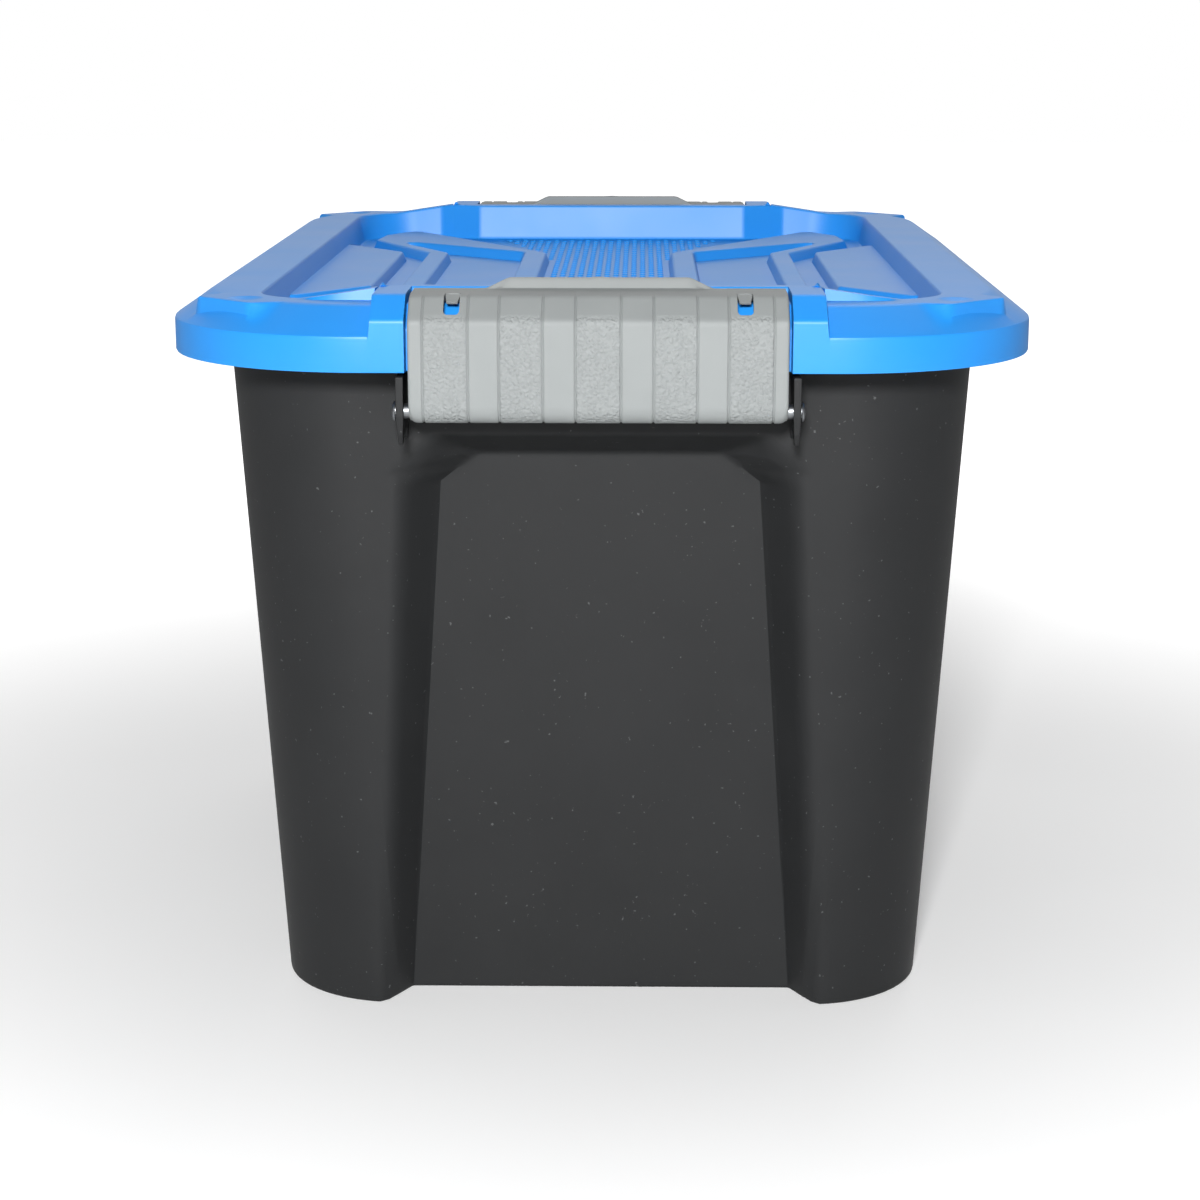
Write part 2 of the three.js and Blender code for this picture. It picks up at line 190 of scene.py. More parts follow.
def tubPlastic():
    # Black polypropylene, injection moulded in a spark-eroded tool: even matt grain, faint scuffs.
    material, tree, shader, place = newMaterial("blackPolypropylene", {
        "Roughness": 0.55, "IOR": 1.49, "Specular IOR Level": 0.25})
    cloud = addNode(tree, "ShaderNodeTexNoise", values={
        "Scale": 1 / (finish["tubCloudMm"] * mm), "Detail": 4.0}, links={"Vector": place})
    tone = addNode(tree, "ShaderNodeMix", {"data_type": "RGBA"},
                   {"A": linearColour(finish["tubColour"]), "B": linearColour(finish["tubLight"])},
                   {"Factor": cloud.outputs["Fac"]})
    speck = addNode(tree, "ShaderNodeTexNoise", values={
        "Scale": 1 / (finish["speckMm"] * mm), "Detail": 1.0}, links={"Vector": place})
    specks = addNode(tree, "ShaderNodeMapRange", values={
        "From Min": 0.74, "From Max": 0.8, "To Min": 0.0, "To Max": 0.25},
        links={"Value": speck.outputs["Fac"]})
    dusty = addNode(tree, "ShaderNodeMix", {"data_type": "RGBA"},
                    {"B": linearColour(finish["speckColour"])},
                    {"Factor": specks.outputs["Result"], "A": tone.outputs["Result"]})
    tree.links.new(dusty.outputs["Result"], shader.inputs["Base Color"])
    shine = addNode(tree, "ShaderNodeMapRange", values={"To Min": 0.5, "To Max": 0.64},
                    links={"Value": cloud.outputs["Fac"]})
    tree.links.new(shine.outputs["Result"], shader.inputs["Roughness"])
    grain = addNode(tree, "ShaderNodeTexNoise", values={
        "Scale": 1 / (finish["tubGrainMm"] * 2 * mm), "Detail": 3.0, "Roughness": 0.7},
        links={"Vector": place})
    bump = addNode(tree, "ShaderNodeBump", values={
        "Strength": 0.5, "Distance": finish["tubGrainDepthMm"] * mm},
        links={"Height": grain.outputs["Fac"]})
    tree.links.new(bump.outputs["Normal"], shader.inputs["Normal"])
    return material


def lidPlastic():
    # Blue polypropylene, satin moulded: soft gloss that pales where the eye grazes it, faint flow clouds.
    material, tree, shader, place = newMaterial("bluePolypropylene", {
        "Roughness": 0.36, "IOR": 1.49, "Specular IOR Level": 0.5})
    flow = addNode(tree, "ShaderNodeTexNoise", values={
        "Scale": 1 / (finish["lidFlowMm"] * mm), "Detail": 3.0}, links={"Vector": place})
    tone = addNode(tree, "ShaderNodeMix", {"data_type": "RGBA"},
                   {"A": linearColour(finish["lidColour"]), "B": linearColour(finish["lidLight"])},
                   {"Factor": flow.outputs["Fac"]})
    tree.links.new(tone.outputs["Result"], shader.inputs["Base Color"])
    shine = addNode(tree, "ShaderNodeMapRange", values={"To Min": 0.38, "To Max": 0.5},
                    links={"Value": flow.outputs["Fac"]})
    tree.links.new(shine.outputs["Result"], shader.inputs["Roughness"])
    grain = addNode(tree, "ShaderNodeTexNoise", values={
        "Scale": 1 / (finish["lidGrainMm"] * 2 * mm), "Detail": 2.0}, links={"Vector": place})
    bump = addNode(tree, "ShaderNodeBump", values={
        "Strength": 0.25, "Distance": finish["fineDepthMm"] * mm},
        links={"Height": grain.outputs["Fac"]})
    tree.links.new(bump.outputs["Normal"], shader.inputs["Normal"])
    return material


def latchPlastic():
    # Grey polypropylene: smooth satin strips between panels of a moulded leather grain.
    material, tree, shader, place = newMaterial("greyPolypropylene", {
        "Roughness": 0.6, "IOR": 1.49, "Specular IOR Level": 0.35})
    axes = addNode(tree, "ShaderNodeSeparateXYZ", links={"Vector": place})
    across = addNode(tree, "ShaderNodeMath", {"operation": "ABSOLUTE"}, links={0: axes.outputs["X"]})
    share = addNode(tree, "ShaderNodeMath", {"operation": "MULTIPLY"}, {1: 10.0},
                    {0: across.outputs["Value"]})            # 0 to 1 over 100 mm
    bands = addNode(tree, "ShaderNodeValToRGB", links={"Fac": share.outputs["Value"]})
    ramp = bands.color_ramp
    ramp.interpolation = "CONSTANT"
    for at, grained in ((0.1, 0), (0.267, 1), (0.459, 0), (0.619, 1), (0.818, 0)):
        ramp.elements.new(at).color = (grained, grained, grained, 1)
    ramp.elements[0].color = (1, 1, 1, 1)
    ramp.elements[-1].color = (0, 0, 0, 1)
    grainEnd, grainStart = finish["grainTopMm"]
    below = addNode(tree, "ShaderNodeMapRange", values={
        "From Min": grainEnd * mm, "From Max": grainStart * mm, "To Min": 0.0, "To Max": 1.0},
        links={"Value": axes.outputs["Z"]})
    mask = addNode(tree, "ShaderNodeMath", {"operation": "MULTIPLY"},
                   links={0: bands.outputs["Color"], 1: below.outputs["Result"]})
    warp = addNode(tree, "ShaderNodeTexNoise", values={
        "Scale": 1 / (finish["warpMm"] * mm), "Detail": 1.0}, links={"Vector": place})
    nudge = addNode(tree, "ShaderNodeVectorMath", {"operation": "SCALE"},
                    {"Scale": finish["warpReachMm"] * mm}, {0: warp.outputs["Color"]})
    bent = addNode(tree, "ShaderNodeVectorMath", {"operation": "ADD"},
                   links={0: place, 1: nudge.outputs["Vector"]})
    pebble = addNode(tree, "ShaderNodeTexVoronoi", {"feature": "SMOOTH_F1"}, {
        "Scale": 1 / (finish["pebbleMm"] * mm), "Smoothness": 0.6}, {"Vector": bent.outputs["Vector"]})
    height = addNode(tree, "ShaderNodeMath", {"operation": "MULTIPLY"},
                     links={0: pebble.outputs["Distance"], 1: mask.outputs["Value"]})
    bump = addNode(tree, "ShaderNodeBump", {"invert": True}, {
        "Strength": 1.0, "Distance": finish["pebbleDepthMm"] * mm}, {"Height": height.outputs["Value"]})
    fine = addNode(tree, "ShaderNodeTexNoise", values={
        "Scale": 1 / (finish["fineGrainMm"] * mm), "Detail": 2.0}, links={"Vector": place})
    fineBump = addNode(tree, "ShaderNodeBump", values={
        "Strength": 0.25, "Distance": finish["fineDepthMm"] * mm},
        links={"Height": fine.outputs["Fac"], "Normal": bump.outputs["Normal"]})
    tree.links.new(fineBump.outputs["Normal"], shader.inputs["Normal"])
    cloud = addNode(tree, "ShaderNodeTexNoise", values={
        "Scale": 1 / (finish["latchCloudMm"] * mm), "Detail": 3.0}, links={"Vector": place})
    tone = addNode(tree, "ShaderNodeMix", {"data_type": "RGBA"},
                   {"A": linearColour(finish["latchColour"]), "B": linearColour(finish["latchLight"])},
                   {"Factor": cloud.outputs["Fac"]})
    tree.links.new(tone.outputs["Result"], shader.inputs["Base Color"])
    return material


def pinSteel():
    # Zinc-plated steel pin: bright, with a fine turned streak round it.
    material, tree, shader, place = newMaterial("zincPlatedSteel", {"Metallic": 1.0, "Roughness": 0.42})
    stretch = addNode(tree, "ShaderNodeMapping", links={"Vector": place})
    stretch.inputs["Scale"].default_value = (12.0, 1.0, 1.0)
    streak = addNode(tree, "ShaderNodeTexNoise", values={
        "Scale": 1 / (finish["pinStreakMm"] * mm), "Detail": 3.0},
        links={"Vector": stretch.outputs["Vector"]})
    tone = addNode(tree, "ShaderNodeMix", {"data_type": "RGBA"},
                   {"A": linearColour(finish["pinColour"]), "B": linearColour(finish["pinDark"])},
                   {"Factor": streak.outputs["Fac"]})
    tree.links.new(tone.outputs["Result"], shader.inputs["Base Color"])
    bump = addNode(tree, "ShaderNodeBump", values={
        "Strength": 0.3, "Distance": finish["pinStreakDepthMm"] * mm},
        links={"Height": streak.outputs["Fac"]})
    tree.links.new(bump.outputs["Normal"], shader.inputs["Normal"])
    return material


tubMaterial, lidMaterial = tubPlastic(), lidPlastic()
latchMaterial, pinMaterial = latchPlastic(), pinSteel()
print("materials made")


# Tub

tubSize = {
    "halfX": 167.2, "halfY": 256.2, "corner": 63.0, "draftX": 0.0573, "draftY": 0.043, "wall": 3.0,
    "top": 361.4, "recessDepth": 24.2, "shoulderZ": 272.3, "topZ": 287.0, "ledgeZ": 299.5, "flare": 13.0,
    "mouthRoll": 0.3, "footRoll": 0.07, "ledgeRoll": 0.1, "ledgeBlend": 0.06,
    "flareGain": 1.3, "clipAbove": 8.0, "recessReach": 0.35, "cornerColumns": 22,
    "flangeX": 192.0, "flangeY": 280.0, "flangeCorner": 83.0, "lipBottom": 345.0,
}
endPanel = {"bottom": 97.9, "top": 79.3, "clipped": 60.5, "middles": [0.0]}
sidePanel = {"bottom": 72.0, "top": 58.0, "clipped": 42.0, "middles": [-97.0, 97.0]}


def panelEdge(panel, z):               # half width of a recess's back panel at a height
    s = tubSize
    if z < s["shoulderZ"]:
        return mix(panel["bottom"], panel["top"], z / s["shoulderZ"])
    return mix(panel["top"], panel["clipped"], clamp((z - s["shoulderZ"]) / (s["topZ"] - s["shoulderZ"])))


def mouthEdge(panel, z):               # half width of its mouth in the wall
    s = tubSize
    turnZ = s["shoulderZ"] + s["clipAbove"]
    flareAbove = s["flareGain"] * s["flare"]
    if z < turnZ:
        return mix(panel["bottom"] + s["flare"], panel["top"] + flareAbove, z / turnZ)
    clip = clamp((z - turnZ) / (s["ledgeZ"] - turnZ))
    return mix(panel["top"], panel["clipped"], clip) + flareAbove


def recessDepth(panel, along, z):
    s = tubSize
    panelHalf, mouthHalf = panelEdge(panel, z), mouthEdge(panel, z)
    away = min(abs(along - middle) for middle in panel["middles"])
    side = (mouthHalf - away) / (mouthHalf - panelHalf)
    ledge = (s["ledgeZ"] - z) / (s["ledgeZ"] - s["topZ"])
    sideCut = rolled(side, s["mouthRoll"], s["footRoll"])
    ledgeCut = rolled(ledge, s["ledgeRoll"], s["ledgeRoll"])
    return s["recessDepth"] * max(0.0, softMin(sideCut, ledgeCut, s["ledgeBlend"]))


def wallKnots(panel, straight, z):     # places along a wall that its columns keep to
    knots = [-straight]
    for middle in panel["middles"]:
        panelHalf = panelEdge(panel, z)
        if len(panel["middles"]) > 1:
            mouthHalf = mouthEdge(panel, z)
            knots += [middle - mouthHalf, middle - panelHalf, middle + panelHalf, middle + mouthHalf]
        else:
            knots += [middle - panelHalf, middle + panelHalf]
    return knots + [straight]


def wallPlaces(panel, counts, straight, z):
    knots = wallKnots(panel, straight, z)
    places = []
    for i, count in enumerate(counts):
        places += [mix(knots[i], knots[i + 1], k / count) for k in range(count)]
    return places


def tubRing(z):                        # one ring of the outer wall
    s = tubSize
    halfX, halfY = s["halfX"] + z * s["draftX"], s["halfY"] + z * s["draftY"]
    radius = s["corner"]
    straightX, straightY = halfX - radius, halfY - radius
    ring = [Vector((x, -halfY, z)) for x in wallPlaces(endPanel, [18, 44, 18], straightX, z)]
    reach = radius * s["recessReach"]
    arc = [radians(90 * k / s["cornerColumns"]) for k in range(s["cornerColumns"])]
    ring += [Vector((straightX + radius * sin(a), -straightY - radius * cos(a), z)) for a in arc]
    counts = [5, 9, 26, 9, 8, 9, 26, 9, 5]
    ring += [Vector((halfX, y, z)) for y in wallPlaces(sidePanel, counts, straightY, z)]
    ring += [Vector((straightX + radius * cos(a), straightY + radius * sin(a), z)) for a in arc]
    for p in ring:
        if abs(p.x) < straightX + reach:
            p.y -= recessDepth(endPanel, p.x, z) * (1 if p.y > 0 else -1)
        if abs(p.y) < straightY + reach:
            p.x -= recessDepth(sidePanel, p.y, z)
    return halfTurn(ring)


def movedIn(ring, distance, z=None):   # a ring brought in square to itself, and set at a height
    moved = []
    for i, p in enumerate(ring):
        after, before = ring[(i + 1) % len(ring)], ring[i - 1]
        along = Vector((after.x - before.x, after.y - before.y, 0)).normalized()
        moved.append(Vector((p.x - along.y * distance, p.y + along.x * distance, p.z if z is None else z)))
    return moved


wallAtTop = tubRing(tubSize["top"])


def flangeRing(inward, z):             # the rim flange, with as many columns as the wall
    s = tubSize
    halfX, halfY = s["flangeX"] - inward, s["flangeY"] - inward
    radius = s["flangeCorner"] - inward
    straightX, straightY = halfX - radius, halfY - radius
    wallX, wallY = s["halfX"] + s["top"] * s["draftX"], s["halfY"] + s["top"] * s["draftY"]
    ring = []
    for p in wallAtTop:
        alongX = clamp(p.x / (wallX - s["corner"]), -1, 1)
        alongY = clamp(p.y / (wallY - s["corner"]), -1, 1)
        outX = p.x - alongX * (wallX - s["corner"])
        outY = p.y - alongY * (wallY - s["corner"])
        spread = radius / s["corner"]
        ring.append(Vector((alongX * straightX + outX * spread, alongY * straightY + outY * spread, z)))
    return ring


earSize = {                            # a plate that carries a pin; profile as inset from the end, height
    "middle": 93.85, "half": 1.95, "taperFrom": 312, "taperOver": 13, "taperBy": 0.45, "edgeRound": 0.7,
    "profile": [(37, 297), (37, 359.5), (30, 359.5), (26, 352), (26, 333), (1.2, 332.4),
                (0.9, 314), (2.4, 305), (5.2, 299.6), (9.2, 299.2), (13, 302), (24, 306)],
}


def addEar(bm, side, end):             # tapers from a stout root to a rounded tip
    middle, half = earSize["middle"] * side, earSize["half"]
    face = bm.faces.new([bm.verts.new((middle - half, end * (endY - inset), z))
                         for inset, z in earSize["profile"]])
    grown = bmesh.ops.extrude_face_region(bm, geom=[face])["geom"]
    fresh = [v for v in grown if isinstance(v, bmesh.types.BMVert)]
    bmesh.ops.translate(bm, verts=fresh, vec=(2 * half, 0, 0))
    verts = list(face.verts) + fresh
    for v in verts:
        taper = clamp((earSize["taperFrom"] - v.co.z) / earSize["taperOver"])
        v.co.x = middle + (v.co.x - middle) * (1 - earSize["taperBy"] * taper)
    edges = {edge for v in verts for edge in v.link_edges}
    bmesh.ops.bevel(bm, geom=list(edges), offset=earSize["edgeRound"], segments=2, affect="EDGES",
                    profile=0.5, material=-1, clamp_overlap=True)


def makeTub():
    s = tubSize
    wallTop = s["top"] - s["wall"]
    heights = [2.2, 14, 40, 70, 100, 130, 160, 190, 220, 245, 260, 267, 270.5, 272.3, 274.2, 276.5, 278.5,
               280.3, 282.2, 284, 285.4, 286.6, 288, 289.6, 291.2, 292.8, 294.4, 296, 297.4, 298.6,
               299.8, 301.2, 302.8, 305, 312, 330, 350]
    base = tubRing(0.0)
    rings = [movedIn(base, 1.7, 0), movedIn(base, 0.7, 0.25), movedIn(base, 0.15, 0.9)]
    rings += [tubRing(z) for z in heights]
    wall = tubRing(wallTop)
    rings += [movedIn(wall, 0.0, wallTop - 1.5), movedIn(wall, -1.2, wallTop)]
    rings += [flangeRing(s["wall"] + 1, wallTop), flangeRing(s["wall"], wallTop - 1),
              flangeRing(s["wall"], s["lipBottom"] + 0.6), flangeRing(s["wall"] - 0.6, s["lipBottom"]),
              flangeRing(0.6, s["lipBottom"]), flangeRing(0, s["lipBottom"] + 0.6),
              flangeRing(0, s["top"] - 1.2), flangeRing(0.35, s["top"] - 0.35), flangeRing(1.2, s["top"])]
    rings += [movedIn(tubRing(s["top"]), s["wall"] - 1.2),
              movedIn(tubRing(s["top"] - 0.5), s["wall"] - 0.3),
              movedIn(tubRing(s["top"] - 1.6), s["wall"])]
    rings += [movedIn(tubRing(z), s["wall"]) for z in reversed(heights[1:])]
    inside = movedIn(tubRing(6.5), s["wall"])
    rings += [inside, movedIn(inside, 0.5, 4.6), movedIn(inside, 1.6, 3.5), movedIn(inside, 3.4, s["wall"])]
    bm = bmesh.new()
    outerRing, innerRing = loft(bm, rings)
    capRing(bm, outerRing)
    capRing(bm, innerRing)
    bmesh.ops.recalc_face_normals(bm, faces=bm.faces)
    ears = bmesh.new()
    for end in (-1, 1):
        for side in (-1, 1):
            addEar(ears, side, end)
    bmesh.ops.recalc_face_normals(ears, faces=ears.faces)
    bm.from_mesh(toMesh(ears, "ears"))
    shell = toMesh(bm, "tubShell")
    return finishPiece(shell, "tubShell", tubMaterial, "tub", ["tub"])


tubShell = makeTub()
print("tub made", len(tubShell.data.polygons))


# Lid

lidSize = {
    "halfX": 215.0, "corner": 103.0, "wall": 2.8, "rim": 364.5,
    "fixedX": 110.0, "fixedY": 200.0, "cornerColumns": 60, "boss": 107.5, "pocket": 91.0,
    "floor": 347.6, "relief": 353.5, "sillFrom": 89.0, "sillTo": 115.0, "sillDeep": 11.0,
    "padReach": 93.0, "padTurn": 46.0, "padFrom": 27.0, "padTo": 56.0, "wedgeTo": 146.0,
    "dishX": 172.2, "dishY": 257.7, "dishRadius": 9.2, "dishDepth": 1.9,
    "dotAcross": 10.4, "dotAlong": 6.2, "dotRadius": 2.0, "dotHeight": 1.3, "dotSunk": 0.05,
    "dotReach": 238.0, "dotHalf": 33.5, "dotWidenFrom": 96, "dotWiden": 0.27,
}
# Rings from the skirt's bottom edge over the rim to the tray floor. Each row holds the plain
# section [inset in X, inset in Y, corner radius, height], then [inset, height] of the boss and
# of the pocket that takes the latch.
lidRings = [
    ([1.6, 1.6, 101.4, 334.5], [1.6, 334.5], [8.6, 334.5]),
    ([0.4, 0.4, 102.6, 334.6], [0.4, 334.6], [7.4, 334.6]),
    ([0.0, 0.0, 103.0, 335.4], [0.0, 335.4], [7.0, 335.4]),
    ([0.0, 0.0, 103.0, 343.0], [0.0, 346.0], [7.0, 343.0]),
    ([0.0, 0.0, 103.0, 350.2], [0.0, 357.8], [7.0, 353.4]),
    ([0.35, 0.4, 102.6, 351.5], [0.3, 359.2], [7.4, 354.8]),
    ([1.5, 1.7, 101.5, 352.5], [1.2, 360.1], [8.3, 355.8]),
    ([9.5, 11.0, 93.5, 357.9], [7.5, 364.6], [12.4, 360.4]),
    ([17.2, 19.9, 86.0, 363.3], [13.8, 369.1], [16.2, 364.6]),
    ([18.9, 21.9, 84.2, 364.2], [15.2, 369.9], [17.2, 365.3]),
    ([20.8, 24.0, 82.3, 364.5], [17.2, 370.3], [19.0, 365.5]),
    ([33.0, 34.0, 58.0, 364.5], [34.0, 370.3], [45.9, 365.5]),
    ([38.6, 38.4, 50.0, 364.5], [46.8, 370.3], [46.9, 366.2]),
    ([39.6, 39.4, 48.5, 364.5], [47.2, 370.3], [47.1, 369.6]),
    ([40.6, 40.4, 47.0, 364.5], [47.9, 370.3], [47.6, 370.2]),
    ([42.0, 41.8, 44.0, 364.5], [49.0, 370.3], [48.6, 370.3]),
    ([44.6, 44.0, 38.5, 364.5], [55.0, 370.3], [55.0, 370.3]),
    ([46.1, 45.5, 36.6, 364.1], [56.5, 369.9], [56.5, 369.9]),
    ([46.9, 46.3, 36.0, 363.0], [57.3, 368.7], [57.3, 368.7]),
    ([49.9, 49.3, 33.0, 350.2], [60.3, 350.2], [60.3, 350.2]),
    ([50.8, 50.2, 32.2, 348.4], [61.2, 348.4], [61.2, 348.4]),
    ([52.8, 52.2, 30.4, 347.6], [63.2, 347.6], [63.2, 347.6]),
]


def bossShare(x):                      # 1 on the raised latch section, with rounded outer corners
    edge = lidSize["boss"]
    return 1 - clamp((abs(x) - edge + 0.25) / 0.9)


def pocketShare(x):
    return 1 - clamp((abs(x) - lidSize["pocket"] + 0.2) / 0.4)


def endColumn(x, row):                 # a point of the front end at a fixed X
    s = lidSize
    plain, boss, pocket = lidRings[row]
    raised, sunk = bossShare(x), pocketShare(x)
    inset = mix(mix(plain[1], boss[0], raised), pocket[0], sunk)
    z = mix(mix(plain[3], boss[1], raised), pocket[1], sunk)
    softEdge = 0.55 * clamp(1 - abs(abs(x) - s["boss"] + 0.3) / 1.2) * raised
    if z > s["rim"]:
        z -= softEdge
    if row >= 16:                      # the sill's inner face steps in between the bosses
        inset = plain[1] + s["sillDeep"] * clamp((s["sillTo"] - abs(x)) / (s["sillTo"] - s["sillFrom"]))
        if raised < 1 and row <= 18:
            z = mix(plain[3], boss[1], wedgeShare(x))
    elif raised < 1 and row >= 13:
        z = mix(plain[3], boss[1], max(raised, wedgeShare(x)))
    return Vector((x, inset - endY, z))


def wedgeShare(x):                     # the inner lip runs down from the boss to the plain rim
    s = lidSize
    return clamp((s["wedgeTo"] - abs(x)) / (s["wedgeTo"] - s["boss"]))


def cornerPath(row, share):            # from the fixed columns of the end to those of the side
    s = lidSize
    insetX, insetY, radius, z = lidRings[row][0]
    halfX, halfY = s["halfX"] - insetX, endY - insetY
    before, after = halfX - radius - s["fixedX"], halfY - radius - s["fixedY"]
    bend = radius * pi / 2
    run = share * (before + bend + after)
    if run < before:
        x, y = s["fixedX"] + run, halfY
    elif run < before + bend:
        a = (run - before) / radius
        x, y = halfX - radius + radius * sin(a), halfY - radius + radius * cos(a)
    else:
        x, y = halfX, halfY - radius - (run - before - bend)
    if row >= 13 and row <= 18 and y > halfY - 9:
        z = mix(z, lidRings[row][1][1], wedgeShare(x) * clamp((y - halfY + 9) / 6))
    if row >= 16 and y > halfY - 3:
        y -= s["sillDeep"] * clamp((s["sillTo"] - x) / (s["sillTo"] - s["sillFrom"]))
    return x, y, z


def padded(row, x, y, z):              # the stacking pad that widens the rim at each corner
    s = lidSize
    centreX, centreY = s["halfX"] - s["corner"], endY - s["corner"]
    outX, outY = x - centreX, y - centreY
    turn = atan2(outY, outX) * 180 / pi
    share = min(ease((turn - s["padFrom"] + 2) / 3.5), ease((s["padTo"] + 5 - turn) / 9))
    if share <= 0:
        return x, y, z
    reach = s["padReach"] / cos(radians(turn - s["padTurn"]))
    footZ = 351.3 + (s["corner"] - reach) / 19 * 13.2
    steps = {6: (reach + 2.0, footZ - 1.4), 7: (reach + 0.1, footZ + 0.6), 8: (reach - 0.3, s["rim"] - 1.2),
             9: (reach - 0.9, s["rim"] - 0.3), 10: (reach - 2.2, s["rim"])}
    radius, height = steps[row]
    scale = mix(1.0, radius / hypot(outX, outY), share)
    return centreX + outX * scale, centreY + outY * scale, mix(z, height, share)


def lidRing(row):
    s = lidSize
    half = [0, 25, 50, 70, 80, 87, 89, 90.2, 90.75, 91.05, 91.25, 91.8, 93, 97, 102, 105, 106.3, 106.9,
            107.25, 107.6, 107.95, 108.3, 108.9, 109.5]
    ring = [endColumn(x, row) for x in [-v for v in reversed(half[1:])] + half]
    corner = []
    for k in range(s["cornerColumns"] + 1):
        x, y, z = cornerPath(row, k / s["cornerColumns"])
        if 6 <= row <= 10:
            x, y, z = padded(row, x, y, z)
        corner.append((x, y, z))
    ring += [Vector((x, -y, z)) for x, y, z in corner]
    insetX, insetY, radius, z = lidRings[row][0]
    ring += [Vector((s["halfX"] - insetX, s["fixedY"] * k / 10, z)) for k in range(-9, 10)]
    ring += [Vector((x, y, z)) for x, y, z in reversed(corner)]
    return halfTurn(ring)


trayShapes = {                         # one quarter of each raised area of the tray
    "plateau": [(125, 98), (170, 155)], "plateauRound": 7,
    "ribOuter": [(113, 93), (154, 178), (151, 214), (136, 243), (126, 243), (42, 104), (36.5, 94)],
    "ribInner": [(97, 93), (137, 171), (54, 97)], "ribRound": 6,
}


def roundedLoop(points, radius):       # a closed outline with its corners rounded
    loop = []
    corners = [Vector(p).to_3d() for p in points]
    for i, corner in enumerate(corners):
        before, after = corners[i - 1] - corner, corners[(i + 1) % len(corners)] - corner
        reach = radius / max(0.2, sin(before.angle(after) / 2) / cos(before.angle(after) / 2))
        start = corner + before.normalized() * min(reach, before.length * 0.45)
        end = corner + after.normalized() * min(reach, after.length * 0.45)
        for k in range(7):
            t = k / 6
            loop.append(start * (1 - t) ** 2 + corner * 2 * t * (1 - t) + end * t * t)
    return loop


def addRaised(bm, loops, radius):      # a raised area of the tray, drafted and with a rounded top edge
    s = lidSize
    area = bmesh.new()
    bottoms, tops = [], []
    steps = [(0, s["floor"] - 0.8), (0.15, s["floor"]), (2.0, s["relief"] - 1.2),
             (2.4, s["relief"] - 0.55), (3.0, s["relief"] - 0.14), (3.7, s["relief"])]
    for points in loops:
        outline = roundedLoop(points, radius)
        first, last = loft(area, [movedIn(outline, inward, z) for inward, z in steps])
        bottoms += [area.edges.get((v, first[i - 1])) for i, v in enumerate(first)]
        tops += [area.edges.get((v, last[i - 1])) for i, v in enumerate(last)]
    for edges in (bottoms, tops):
        bmesh.ops.triangle_fill(area, edges=edges, use_beauty=True)
    bmesh.ops.recalc_face_normals(area, faces=area.faces)
    bm.from_mesh(toMesh(area, "raised"))


def anticlockwise(points):
    turn = sum(a[0] * b[1] - b[0] * a[1] for a, b in zip(points, points[1:] + points[:1]))
    return points if turn > 0 else points[::-1]


def mirroredInY(quarter):
    return quarter + [(x, -y) for x, y in reversed(quarter)]


def addDots(bm):                       # the grip field down the middle of the tray
    s = lidSize
    row = 0
    y = -s["dotReach"]
    while y <= s["dotReach"]:
        half = s["dotHalf"] + max(0.0, abs(y) - s["dotWidenFrom"]) * s["dotWiden"]
        start = 0.0 if row % 2 else s["dotAcross"] / 2
        count = int((half - start) // s["dotAcross"])
        xs = [start + k * s["dotAcross"] for k in range(count + 1)]
        dots = bmesh.new()
        for x in sorted(set(xs + [-v for v in xs])):
            place = Matrix.Translation((x, y, s["floor"] - s["dotSunk"]))
            shape = Matrix.Diagonal((s["dotRadius"], s["dotRadius"], s["dotHeight"], 1))
            bmesh.ops.create_uvsphere(dots, u_segments=8, v_segments=4, radius=1, matrix=place @ shape)
        bm.from_mesh(toMesh(dots, "dots"))
        row += 1
        y += s["dotAlong"]


def makeLid():
    s = lidSize
    bm = bmesh.new()
    floorRing = loft(bm, [lidRing(row) for row in range(len(lidRings))])[1]
    capRing(bm, floorRing)
    bmesh.ops.recalc_face_normals(bm, faces=bm.faces)
    flat = max(bm.faces, key=lambda f: f.calc_area())
    if flat.normal.z < 0:
        bmesh.ops.reverse_faces(bm, faces=bm.faces)
    bm.normal_update()
    outside = {v: v.normal.copy() for v in bm.verts}
    copied = bmesh.ops.duplicate(bm, geom=list(bm.verts) + list(bm.edges) + list(bm.faces))
    for v, normal in outside.items():
        copied["vert_map"][v].co = v.co - normal * s["wall"]
    underFaces = [f for f in copied["geom"] if isinstance(f, bmesh.types.BMFace)]
    bmesh.ops.reverse_faces(bm, faces=underFaces)
    bmesh.ops.bridge_loops(bm, edges=[e for e in bm.edges if e.is_boundary])
    shell = toMesh(bm, "lidShell")
    dish = bmesh.new()
    radius = (s["dishRadius"] ** 2 + s["dishDepth"] ** 2) / (2 * s["dishDepth"])
    for x in (-s["dishX"], s["dishX"]):
        for y in (-s["dishY"], s["dishY"]):
            place = Matrix.Translation((x, y, s["rim"] - s["dishDepth"] + radius))
            bmesh.ops.create_uvsphere(dish, u_segments=40, v_segments=40, radius=radius, matrix=place)
    cut = cutBy(shell, toMesh(dish, "dish"), "lid")
    whole = bmesh.new()
    whole.from_mesh(cut)
    loops = [mirroredInY(trayShapes[name]) for name in ("plateau", "ribOuter", "ribInner")]
    for side in (1, -1):
        plate, rib, well = [anticlockwise([(x * side, y) for x, y in loop]) for loop in loops]
        addRaised(whole, [plate], trayShapes["plateauRound"])
        addRaised(whole, [rib, well[::-1]], trayShapes["ribRound"])
    addDots(whole)
    made = toMesh(whole, "lidShell")
    return finishPiece(made, "lidShell", lidMaterial, "lid", ["lid"], 35)


lidShell = makeLid()
print("lid made", len(lidShell.data.polygons))


# Latches

